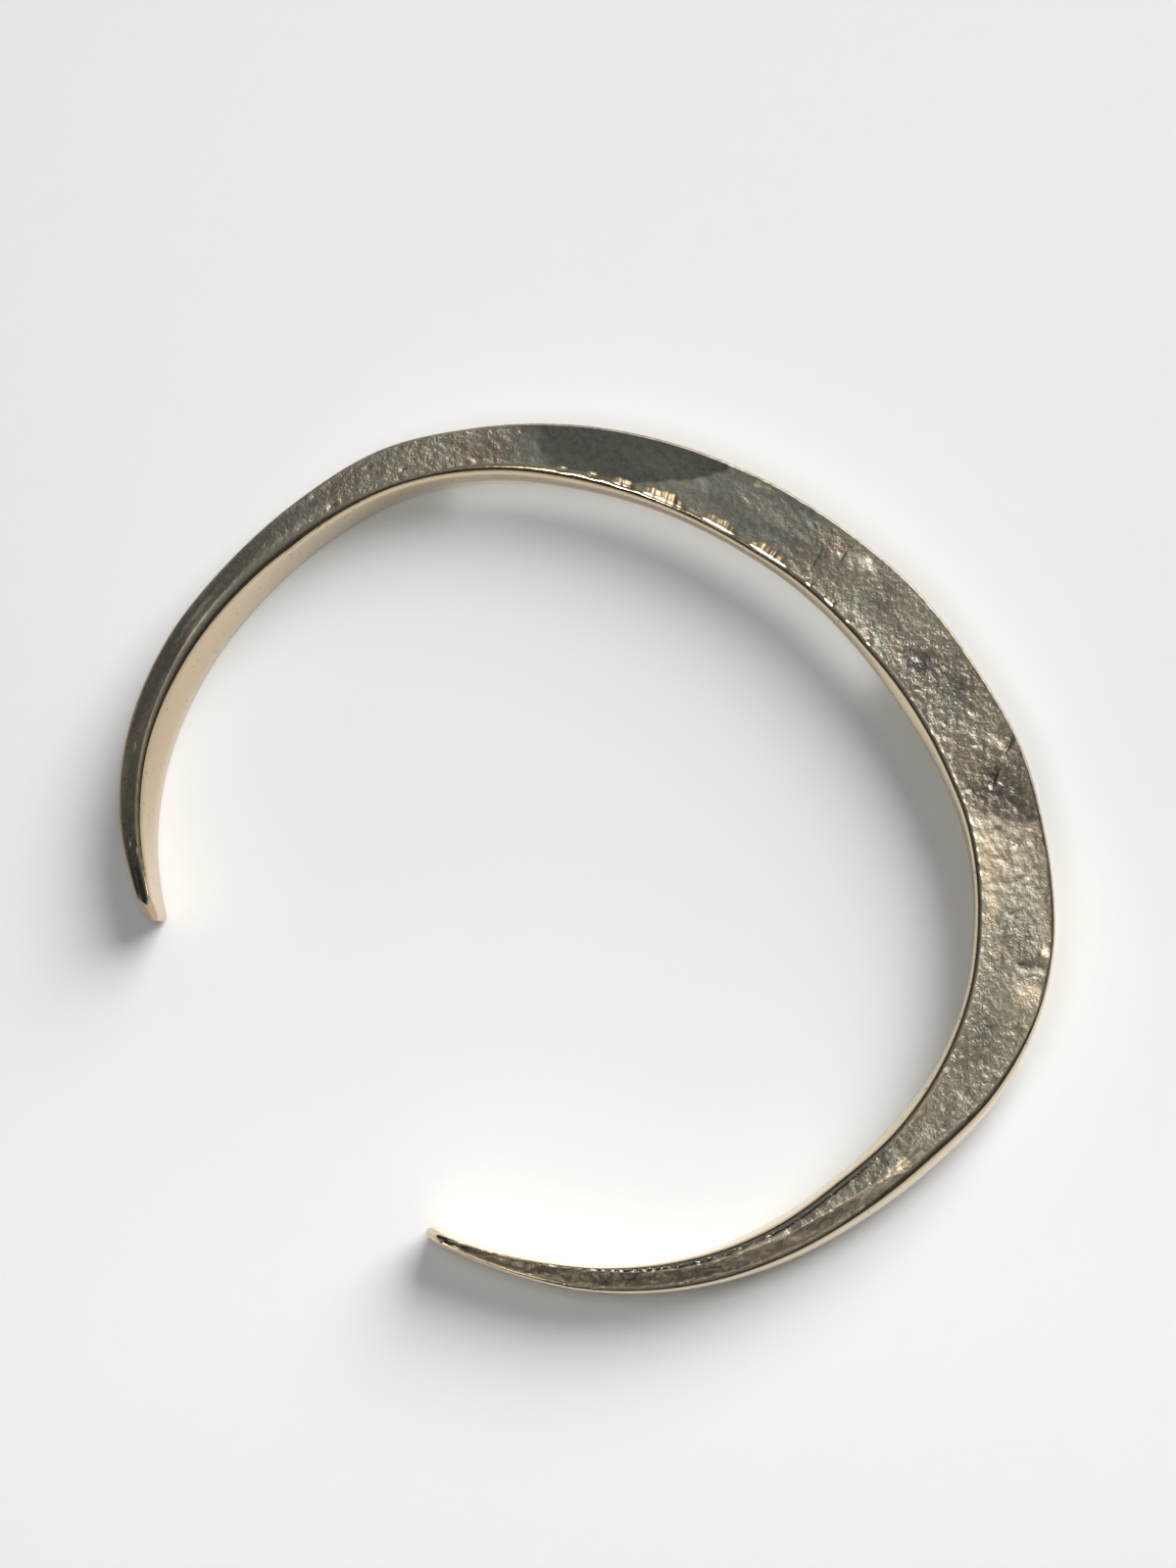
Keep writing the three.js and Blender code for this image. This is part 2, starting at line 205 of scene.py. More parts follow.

# Patches of the face with a finish of their own. dark, warm and rough are added to the values of
# FACE, and tip_up and tip_out tilt the patch, in degrees, along the bar and towards its outer rim.
# Some patches are painted light: on tipped patches a negative dark paints glints and tan highlights
# lighter, and the light and dark patches that alternate along the right arm paint the light and
# shade of its soft lumps.
PATCHES = (
    ("bearing", "across", "length", "width", "turn", "dark", "warm", "rough", "tip_up", "tip_out"),
    (38.5, 0.80, 2.6, 0.9, 0, -0.10, 0.50, 0.03, 0, 0),
    (35.5, 0.52, 1.2, 0.6, 40, -0.30, 0.50, 0.05, 0, 0),
    (27.0, 0.92, 1.3, 0.3, 0, -0.60, 0.20, 0.05, 6, 8),
    (-7.7, 0.42, 2.4, 1.9, 30, 0.30, -0.20, -0.06, 0, 0),
    (-13.5, 0.70, 1.8, 1.0, 40, 0.25, -0.30, -0.03, 0, 0),
    (-1.5, 0.25, 2.2, 1.2, 20, -0.15, 0.10, 0.03, 0, 0),
    (3.5, 0.65, 2.4, 1.5, 60, 0.25, -0.20, -0.04, 0, 0),
    (8.8, 0.78, 1.3, 1.0, 60, -0.40, -0.10, 0.10, 6, 8),
    (-19.0, 0.30, 2.0, 1.6, 60, -0.15, 0.20, 0.03, 0, 0),
    (-22.2, 0.75, 1.4, 1.0, 43, -0.30, 0.30, 0.06, 6, 6),
    (-27.5, 0.55, 3.4, 2.4, 70, 0.12, 0.10, -0.03, 0, 0),
    (-30.6, 0.60, 1.3, 4.6, 8, 0.05, -0.10, 0.00, 0, 0),
    (-36.5, 0.15, 4.5, 1.0, 0, -0.25, 0.10, 0.06, 0, 4),
    (-44.0, 0.12, 4.0, 1.0, 0, -0.30, 0.20, 0.08, 0, 4),
    (-48.5, 0.55, 2.2, 2.4, 60, 0.30, -0.20, -0.04, 0, 0),
    (-50.0, 0.93, 0.9, 0.6, 70, -0.70, 0.20, 0.00, 17, 12),
    (-51.8, 0.68, 1.7, 1.0, 80, 0.45, 0.00, -0.06, 0, 0),
    (-55.2, 0.80, 2.6, 1.7, 70, -0.40, 0.60, 0.08, 6, 4),
    (-62.0, 0.35, 3.2, 2.4, 20, 0.15, -0.20, -0.04, 0, 0),
    (-70.0, 0.45, 2.8, 1.6, 10, -0.05, -0.10, 0.02, 0, 0),
    (-77.0, 0.60, 3.0, 1.6, 0, -0.15, 0.30, 0.05, 5, 0),
    (-83.5, 0.78, 4.6, 0.80, -4, -0.90, 0.40, 0.10, 8, -14),
    (-93.0, 0.30, 3.4, 0.9, 0, -0.10, 0.00, 0.04, 0, 0),
    (-102.0, 0.22, 4.0, 0.5, 0, -0.50, 0.20, 0.05, 5, 6),
    (-98.5, 0.72, 2.0, 0.6, 0, -0.35, 0.50, 0.06, 5, -8),
    (-104.0, 0.70, 2.4, 0.6, 4, -0.35, 0.60, 0.05, 0, -8),
    (-110.0, 0.55, 1.0, 0.5, 0, 0.35, -0.10, -0.04, 0, 0),
    (-116.0, 0.60, 1.6, 0.5, 0, -0.25, 0.40, 0.05, 5, -8),
    (-122.0, 0.45, 1.0, 0.5, 0, 0.35, 0.00, -0.04, 0, 0),
    (-128.0, 0.60, 1.6, 0.5, 0, -0.20, 0.30, 0.05, 5, -8),
    (-143.7, 0.35, 1.30, 0.30, 0, -0.70, 0.10, -0.15, -3, -15),
    (112.0, 0.25, 3.0, 0.8, 0, -0.30, 0.00, 0.05, 0, -6),
    (128.0, 0.35, 3.4, 0.7, 0, -0.15, 0.00, 0.03, 0, -3),
    (141.8, 0.40, 0.90, 0.45, 0, -0.90, 0.10, -0.20, 13, -12),
)

# Stretches of the inner rim that were burnished to a bevel: where, for how many degrees, and how
# wide in millimetres.
BEVELS = (
    ("bearing", "length", "width"),
    (-0.7, 1.0, 0.34),
    (4.3, 1.0, 0.36),
    (8.8, 2.2, 0.42),
    (13.3, 1.2, 0.40),
    (21.3, 7.2, 0.60),
    (30.8, 6.2, 0.62),
    (40.6, 6.6, 0.66),
    (47.3, 3.2, 0.50),
    (52.0, 1.6, 0.34),
    (56.5, 1.6, 0.28),
)
BEVEL_TILT = 18.0     # degrees that a burnished bevel slopes towards the hollow
BEVEL_ROUGHNESS = 0.30

# The smooth dark facet across the back: the hammer slid off it along a curve on one side, and it
# fades out on the other.
FACET_START = 32.5    # bearing at the outer rim of the side it slid off
FACET_SWEEP = 15.3    # degrees by which that side lags at the inner rim
FACET_END = 59.5
FACET_DARK = 0.36
FACET_ROUGHNESS = 0.26

# The row of small lights that stands in for what the polished wall throws on the board.
BOUNCE_SPAN = (-4, 74)
BOUNCE_DISCS = 18
BOUNCE_INSET = 1.3    # from the foot of the wall
BOUNCE_HEIGHT = 2.0
BOUNCE_SIZE = 1.6

CAMERA_TARGET = (-3.57, 1.99, HEIGHT)
LENS = 86.3           # focal length on a sensor 36 wide
SENSOR = 36
FLOOR_FLAT = 0.75     # in metres: radius out to which the floor is flat, radius of its edge,
FLOOR_EDGE = 1.25     # and how fast it sweeps up between them
FLOOR_SWEEP = 1.35
# how much lighter the board is painted on its near side, a painted gradient of light
NEAR_PAINTED_BRIGHTENING = 1.11

STATIONS = 1100       # cross-sections along the bar, and further ones over each nose
NOSE_STEPS = 25
FACE_STEPS = 46       # points across the face, and up a wall below and above its belly
UNDER_STEPS = 4
OVER_STEPS = 5


def linear(hex_colour):
    """Linear RGB of an sRGB hex colour such as "C5B69E"."""
    parts = [int(hex_colour[i:i + 2], 16) / 255 for i in (0, 2, 4)]
    return tuple(c / 12.92 if c <= 0.04045 else ((c + 0.055) / 1.055) ** 2.4 for c in parts)


def smooth(low, high, x):
    """0 below low, 1 above high, and an S-curve between them."""
    t = np.clip((x - low) / (high - low), 0, 1)
    return t * t * (3 - 2 * t)


def rows_of(table):
    """Rows of a table as dictionaries keyed by its column names."""
    return [dict(zip(table[0], row)) for row in table[1:]]


def read_table(table, column, bearing):
    """Smooth curve through a table's rows, read at an array of bearings.

    Between two rows it is the cubic that meets both values, with a slope at each row equal to
    the mean slope between that row's two neighbours.
    """
    rows = np.array(table[1:], float)
    key, value = rows[:, 0], rows[:, table[0].index(column)]
    order = np.arange(len(key))
    before, after = np.maximum(order - 1, 0), np.minimum(order + 1, len(key) - 1)
    slope = (value[after] - value[before]) / (key[after] - key[before])
    i = np.clip(np.searchsorted(key, bearing) - 1, 0, len(key) - 2)
    span = key[i + 1] - key[i]
    t = np.clip((bearing - key[i]) / span, 0, 1)
    start = value[i] * (1 + 2 * t) * (1 - t) ** 2 + slope[i] * span * t * (1 - t) ** 2
    end = value[i + 1] * (3 - 2 * t) * t ** 2 - slope[i + 1] * span * (1 - t) * t ** 2
    return start + end


def lattice_noise(x, y, seed):
    """Smooth noise of two coordinates, about -1 to 1, one bump to a unit square.

    Each lattice corner gets a direction from a hash of its two whole numbers. The value is the
    dot product of that direction with the way from the corner, blended over the four corners.
    """
    ix, iy = np.floor(x).astype(np.int64), np.floor(y).astype(np.int64)
    fx, fy = x - ix, y - iy
    blend_x = fx ** 3 * (fx * (6 * fx - 15) + 10)
    blend_y = fy ** 3 * (fy * (6 * fy - 15) + 10)
    total = np.zeros_like(fx)
    for cx in (0, 1):
        for cy in (0, 1):
            code = (ix + cx) * 374761393 + (iy + cy) * 668265263 + seed * 1274126177
            code = ((code ^ (code >> 13)) * 1103515245) & 0x7FFFFFFF
            angle = ((code ^ (code >> 16)) & 0xFFFF) * (2 * math.pi / 65536)
            dot = np.cos(angle) * (fx - cx) + np.sin(angle) * (fy - cy)
            weight = (blend_x if cx else 1 - blend_x) * (blend_y if cy else 1 - blend_y)
            total += weight * dot
    return 1.5 * total


def stations():
    """Bearings of the cross-sections: even along the bar, closing up over the two noses."""
    nose = math.degrees(NOSE / BAR_RADIUS)
    steps = np.linspace(0, 1, NOSE_STEPS + 1)[:-1] ** 1.4 * nose
    bar = np.linspace(TIP_RIGHT + nose, TIP_LEFT - nose, STATIONS)
    return np.concatenate([TIP_RIGHT + steps, bar, TIP_LEFT - steps[::-1]])


def wall(sole, foot, belly, rim, top, rounding, side):
    """Radius, height and face share of a wall from its foot to the rim of the face.

    It swells from the sole to the belly with the 1.3rd power of the depth below the belly, draws
    in above it with the 1.25th power of the height, and ends in the last 60 degrees of an
    elliptical rounding.
    """
    reach = np.maximum(side * (foot - rim), 0.3 * rounding)
    shoulder = np.minimum(0.87 * rounding, 0.75 * reach)
    rest = side * (foot - rim) - shoulder
    low = top - 0.5 * rounding
    up = np.linspace(0, 1, UNDER_STEPS + 1)[:-1]
    under = (foot - (foot - sole) * (1 - up) ** 1.3, FOOT_ROUND + up * (belly - FOOT_ROUND))
    up = np.linspace(0, 1, OVER_STEPS + 1)[:-1]
    over = (rim + side * (shoulder + rest * (1 - up ** 1.25)), belly + up * (low - belly))
    turn = np.radians(np.linspace(30, 90, 9)[:-1])
    last = (rim + side * shoulder * np.cos(turn) / math.cos(math.pi / 6),
            low + 0.5 * rounding * (2 * np.sin(turn) - 1))
    plain = np.zeros(UNDER_STEPS + OVER_STEPS)
    share = np.concatenate([plain, np.clip((np.degrees(turn) - 70) / 20, 0, 1) ** 1.5])
    return np.hstack([under[0], over[0], last[0]]), np.hstack([under[1], over[1], last[1]]), share


def nose_depth(bearing):
    """How far a bearing is into a nose: 0 on the bar, nearly 1 at the blunt end of the tip."""
    gap = np.minimum(TIP_LEFT - bearing, bearing - TIP_RIGHT) * math.radians(BAR_RADIUS)
    return np.clip(1 - gap / NOSE, 0, 0.985)


def bar_sections(bearing):
    """Cross-sections at an array of bearings: radius, height, across and face share.

    A section is the foot, the outer wall, the face from its outer rim to its inner one, and the
    inner wall. The face falls from its crest line to both rims with the 1.4th power of the
    distance. Over a nose the top falls with the 1.3rd power of the depth into it.
    """
    b = bearing[:, None]
    plan = {name: read_table(PLAN, name, b) for name in PLAN[0][1:]}
    edge = {name: read_table(EDGES, name, b) for name in EDGES[0][1:]}
    inner, outer = plan["inner"], plan["outer"]
    foot_in, foot_out = inner - plan["flare_in"], outer + plan["flare_out"]
    sole_in = foot_in + TUCK_SLOPE * np.maximum(edge["belly_in"] - LOW_BELLY, 0)
    sole_out = foot_out - TUCK_SLOPE * np.maximum(edge["belly_out"] - LOW_BELLY, 0)

    bend = np.linspace(0, math.pi / 2, 4)[:-1]
    foot_out_r = sole_out - FOOT_ROUND * (1 - np.sin(bend))
    foot_in_r = sole_in + FOOT_ROUND * (1 - np.sin(bend[::-1]))
    foot_z = FOOT_ROUND * (1 - np.cos(bend)) * np.ones_like(b)

    up_out = wall(sole_out, foot_out, edge["belly_out"], outer, HEIGHT - edge["fall_out"],
                  edge["round_out"], 1)
    up_in = wall(sole_in, foot_in, edge["belly_in"], inner, HEIGHT - edge["fall_in"],
                 edge["round_in"], -1)

    across = np.linspace(1, 0, FACE_STEPS)
    crest = edge["crest"]
    beyond = across > crest
    away = np.where(beyond, (across - crest) / (1 - crest), (crest - across) / crest)
    fall = np.where(beyond, edge["fall_out"], edge["fall_in"]) * away ** 1.4
    face_r = inner + across * (outer - inner)
    face_z = HEIGHT - fall

    radius = np.hstack([foot_out_r, up_out[0], face_r, up_in[0][:, ::-1], foot_in_r])
    height = np.hstack([foot_z, up_out[1], face_z, up_in[1][:, ::-1], foot_z[:, ::-1]])
    none = np.zeros(len(bend))
    share = np.concatenate([none, up_out[2], np.ones(FACE_STEPS), up_in[2][::-1], none])
    side = np.concatenate([none + 1, np.ones_like(up_out[2]), across,
                           np.zeros_like(up_in[2]), none])

    depth = nose_depth(b)
    low = NOSE_LIFT * (1 - np.sqrt(1 - depth ** 2))
    off = (2 * radius - inner - outer) / (outer - inner)
    late = NOSE_POINT * np.maximum(1 - off ** 2, 0) * (1 - depth)
    high = HEIGHT - NOSE_DROP * np.maximum(depth - late, 0) ** 1.3
    height = low + height / HEIGHT * (high - low)
    width = (1 - depth ** 4) ** 0.25
    middle = (foot_in + foot_out) / 2
    radius = middle + (radius - middle) * width
    return radius, height, side, share


def window(x, y, mark):
    """Weight of an elliptical mark, 1 at its middle: exp(-u^4 - v^2), u along it and v across."""
    c, s = math.cos(math.radians(mark["turn"])), math.sin(math.radians(mark["turn"]))
    return np.exp(-((x * c + y * s) / (mark["length"] / 2)) ** 4
                  - ((y * c - x * s) / (mark["width"] / 2)) ** 2)


def patch_sum(bearing, across, width, columns):
    """Sum over the patches of their windows times their values, one array for each column."""
    sums = [np.zeros_like(across * width) for _ in columns]
    along = np.radians(bearing) * FACE_RADIUS
    ragged = 0.35 * lattice_noise(along / 0.7, across * width / 0.7, 21)
    for patch in rows_of(PATCHES):
        x = along - math.radians(patch["bearing"]) * FACE_RADIUS + ragged
        y = (across - patch["across"]) * width + ragged
        weight = window(x, y, patch)
        for total, column in zip(sums, columns):
            total += weight * patch[column]
    return sums


def zone_bearing(bearing, across, width):
    """Bearing at which the face's stretches are looked up: slanted across the bar and ragged."""
    ragged = lattice_noise(np.radians(bearing) * FACE_RADIUS / 1.3, across * width / 1.3, 31)
    return bearing + 2.5 * (across - 0.5) + 0.7 * ragged


def facet(bearing, across, width):
    """1 on the smooth facet of the back, 0 off it: its curved side is start + sweep (1 - a)^1.5."""
    ragged = lattice_noise(np.radians(bearing) * FACE_RADIUS / 0.9, across * width / 0.9, 51)
    side = FACET_START + FACET_SWEEP * (1 - across) ** 1.5 + 0.35 * ragged
    end = FACET_END + 2 * (across - 0.5) + 1.2 * ragged
    return smooth(-0.35, 0.35, bearing - side) * (1 - smooth(-1.2, 1.2, bearing - end))


def bevel_width(bearing):
    """Width of the burnished bevel of the inner rim, in millimetres, uneven along its run."""
    total = 0
    for bevel in rows_of(BEVELS):
        off = (bearing - bevel["bearing"]) / (bevel["length"] / 2)
        total = total + bevel["width"] * np.exp(-off ** 6)
    beads = 0.85 + 0.30 * lattice_noise(bearing / 0.8, bearing * 0 + 0.5, 41)
    return total * (beads + 0.14 * lattice_noise(bearing / 0.33, bearing * 0 + 0.5, 42))


def face_relief(bearing, across, width, strength):
    """Depth of the hammered surface below the smooth face, in millimetres, never above it.

    Broad dishes are a sum of three slow waves. Lumps are smooth noise in two sizes, wrinkles are
    the sharp valleys where noise drawn out at 35 degrees to the bar's width changes sign, each
    mark is a bell curve over an ellipse, each tipped patch a plane faded out over one, a lean a
    plane that falls to the outer rim, and the bevel a plane that falls to the inner rim.
    """
    along = np.radians(bearing) * FACE_RADIUS
    over = across * width
    dish = np.sin(bearing * 0.21 + 2.3 * across + 0.6)
    dish = dish + np.sin(bearing * 0.37 - 3.1 * across + 1.9)
    dish = dish + np.sin(bearing * 0.093 + 5.2 * across)
    dish = DISH_DEPTH * (0.5 + dish / 6) * (1 - np.abs(2 * across - 1) ** 3)

    sway = 0.5 * lattice_noise(along / 1.5, over / 1.5, 5)
    lumps = lattice_noise(along / 0.80 + sway, over / 0.80 - sway, 1)
    lumps = lumps + 0.7 * lattice_noise(along / 0.42, over / 0.42 + sway, 2)
    beside, down = along * 0.82 - over * 0.57, along * 0.57 + over * 0.82
    fold = 1 - np.abs(lattice_noise(beside / 0.55 + sway, down / 1.1 + sway, 3))

    at = zone_bearing(bearing, across, width)
    zone = {name: read_table(FACE, name, at) for name in ("lumps", "wrinkles", "lean")}
    inside_bevel = np.clip(bevel_width(bearing) - over, 0, None)
    calm = (1 - 0.85 * facet(bearing, across, width)) * (1 - 0.6 * smooth(0, 0.1, inside_bevel))
    relief = zone["lumps"] * (0.5 + 0.5 * lumps) + zone["wrinkles"] * fold ** 3
    relief = np.maximum(relief * strength, 0) * calm + dish
    relief = relief + np.tan(np.radians(zone["lean"])) * over
    for mark in rows_of(MARKS):
        x = along - math.radians(mark["bearing"]) * FACE_RADIUS + 0.1 * sway
        y = (across - mark["across"]) * width + 0.1 * lumps
        relief = relief + strength * mark["depth"] * window(x, y, mark)
    for patch in rows_of(PATCHES):
        x = along - math.radians(patch["bearing"]) * FACE_RADIUS
        y = (across - patch["across"]) * width
        tip = math.tan(math.radians(patch["tip_up"])) * x
        tip = tip + math.tan(math.radians(patch["tip_out"])) * y
        relief = relief + tip * window(x, y, patch)
    return np.maximum(relief, 0) + math.tan(math.radians(BEVEL_TILT)) * inside_bevel


def bar_surface(settings):
    """Vertices of every cross-section, one row a section, and the values painted on them."""
    bearing = stations()
    radius, height, side, share = bar_sections(bearing)
    angle = np.radians(90 + bearing)[:, None]
    points = np.stack([radius * np.cos(angle), radius * np.sin(angle), height], axis=-1)

    along = np.gradient(points, axis=0)
    around = (np.roll(points, -1, axis=1) - np.roll(points, 1, axis=1)) / 2
    normal = np.cross(along, around)
    normal /= np.linalg.norm(normal, axis=-1, keepdims=True)

    b = np.broadcast_to(bearing[:, None], radius.shape)
    across = np.broadcast_to(side, radius.shape)
    width = (read_table(PLAN, "outer", bearing) - read_table(PLAN, "inner", bearing))[:, None]
    relief = face_relief(b, across, width, settings.relief)
    rim_off = 2 * across - 1
    cap = smooth(0, 0.10, nose_depth(b) - NOSE_POINT * (1 - rim_off ** 2) * (1 - nose_depth(b)))
    share = share * (1 - cap)
    nose_fade = smooth(2.4, 5.0, np.minimum(TIP_LEFT - b, b - TIP_RIGHT))
    relief = relief * share * nose_fade
    sway = lattice_noise(np.radians(b) * BAR_RADIUS / 6.0, height / 4.0, 9)
    points = points - normal * (relief + 0.02 * (0.5 + 0.5 * sway) * (1 - share))[..., None]
    painted = paint_bar(settings, b, across, width, share)
    painted["depth"] = relief
    return points, painted


def paint_bar(settings, b, across, width, share):
    """Values painted on the bar at its bearings b, by name, for its material to read.

    The stretches of FACE come first, then the patches and the facet. Bright lines of wear and
    painted highlight, the painted dark reflection along the inner rim of the right arm and the
    burnished bevels are laid over them. The walls take the rest, by how little of the face each
    point has.
    """
    at = zone_bearing(b, across, width)
    painted = {name: read_table(FACE, name, at) for name in ("grain", "rough", "dark", "warm")}
    extra = patch_sum(b, across, width, ("dark", "warm", "rough"))
    smoothed = facet(b, across, width)
    over = across * width
    bevel = smooth(-0.05, 0.05, bevel_width(b) - over)
    crest = read_table(EDGES, "crest", b)
    arm = 1 - smooth(-86, -78, b)
    # Bright silver lines along the right arm's crest and the inner rims of the back and the left
    # arm: partly wear, partly painted highlight.
    wear_and_highlight = np.exp(-((over - crest * width) / HIGHLIGHT_LINE) ** 2) * arm * smooth(-146, -140, b)
    back_rim_highlight = 0.7 * np.exp(-(over / HIGHLIGHT_LINE) ** 2) * (1 - arm) * (b < 60)
    left_rim_highlight = 0.9 * np.exp(-((over - HIGHLIGHT_EDGE) / HIGHLIGHT_EDGE) ** 2) * smooth(104, 114, b)
    wear_and_highlight = np.maximum(np.maximum(wear_and_highlight, back_rim_highlight), left_rim_highlight)
    painted["dark"] = painted["dark"] + extra[0] + FACET_DARK * smoothed
    painted["dark"] = (painted["dark"] * (1 - wear_and_highlight) - 0.7 * wear_and_highlight) * (1 - bevel)
    painted["warm"] = np.clip(painted["warm"] + extra[1], 0, 1) * (1 - 0.7 * smoothed)
    rough = np.clip(painted["rough"] + extra[2] + 0.08 * wear_and_highlight, 0.1, 0.7)
    # Painted dark reflection: the inner rim of the right arm is painted dark, the way a polished
    # rim that reflects a dark room looks, and is given a polished roughness.
    rim = np.exp(-(over / DARK_RIM) ** 4) * arm
    painted["dark"] = painted["dark"] + 0.5 * rim
    rough = rough * (1 - rim) + 0.15 * rim
    rough = rough * (1 - smoothed) + FACET_ROUGHNESS * smoothed
    rough = rough * (1 - bevel) + BEVEL_ROUGHNESS * bevel
    shell = settings.wall_roughness + (settings.outside_roughness - settings.wall_roughness) * (
        across * np.maximum(smooth(-50, -30, b), 0.6 * (1 - smooth(-143, -130, b))))
    painted["rough"] = rough * share + shell * (1 - share)
    painted["grain"] = painted["grain"] * share * (1 - bevel) * (1 - 0.75 * smoothed)
    dull = (1 - share) * across * smooth(-50, -30, b) * (1 - smooth(100, 130, b))
    painted["face"] = share * (1 - bevel) + 0.8 * dull
    painted["dark"] = painted["dark"] * (1 - dull) + 0.7 * dull
    painted["warm"] = painted["warm"] * (1 - dull) + 0.3 * dull
    painted["stain"] = 0.42 * smooth(95, 140, b) + 0.10 * smooth(-20, 20, b)
    return painted


def ring_quads(count, around):
    """Corners of the quads between neighbouring rings of points, each ring closed on itself."""
    i, j = np.meshgrid(np.arange(count - 1), np.arange(around), indexing="ij")
    k = (j + 1) % around
    return np.stack([i * around + j, (i + 1) * around + j, (i + 1) * around + k,
                     i * around + k], axis=-1).reshape(-1, 4)


def closed_bar(name, rings, painted):
    """Mesh of a bar from its rings of points, closed at both ends by a fan round a pole."""
    count, around = rings.shape[:2]
    poles = rings[[0, -1]].mean(axis=1)
    vertices = np.vstack([rings.reshape(-1, 3), poles])
    quads = ring_quads(count, around)
    j = np.arange(around)
    k = (j + 1) % around
    last = (count - 1) * around
    start = np.stack([np.full(around, count * around), j, k], axis=-1)
    end = np.stack([np.full(around, count * around + 1), last + k, last + j], axis=-1)
    corners = np.concatenate([quads.ravel(), start.ravel(), end.ravel()])
    sizes = np.concatenate([np.full(len(quads), 4), np.full(2 * around, 3)])

    mesh = bpy.data.meshes.new(name)
    mesh.vertices.add(len(vertices))
    mesh.vertices.foreach_set("co", vertices.ravel())
    mesh.loops.add(len(corners))
    mesh.loops.foreach_set("vertex_index", corners)
    mesh.polygons.add(len(sizes))
    mesh.polygons.foreach_set("loop_start", np.concatenate([[0], np.cumsum(sizes)[:-1]]))
    mesh.update(calc_edges=True)
    mesh.validate()
    mesh.shade_smooth()
    for key, value in painted.items():
        ends = value[[0, -1]].mean(axis=1)
        layer = mesh.attributes.new(key, "FLOAT", "POINT")
        layer.data.foreach_set("value", np.concatenate([value.ravel(), ends]).astype(np.float32))
    return mesh


def place(name, data):
    """Adds an object at the origin to the scene's collection, replacing an older one."""
    old = bpy.data.objects.get(name)
    if old:
        bpy.data.objects.remove(old)
    made = bpy.data.objects.new(name, data)
    bpy.context.scene.collection.objects.link(made)
    return made


def node(tree, kind, inputs=None, **settings):
    """Adds a shader node: settings are its properties, inputs are values or sockets to link."""
    made = tree.nodes.new(kind)
    for key, value in settings.items():
        setattr(made, key, value)
    for key, value in (inputs or {}).items():
        if isinstance(value, bpy.types.NodeSocket):
            tree.links.new(value, made.inputs[key])
        else:
            made.inputs[key].default_value = value
    return made


def new_material(name):
    """Empty node material with its Principled shader already linked to the output."""
    material = bpy.data.materials.new(name)
    material.use_nodes = True
    tree = material.node_tree
    tree.nodes.clear()
    shader = node(tree, "ShaderNodeBsdfPrincipled")
    node(tree, "ShaderNodeOutputMaterial", {"Surface": shader.outputs["BSDF"]})
    return material, tree, shader


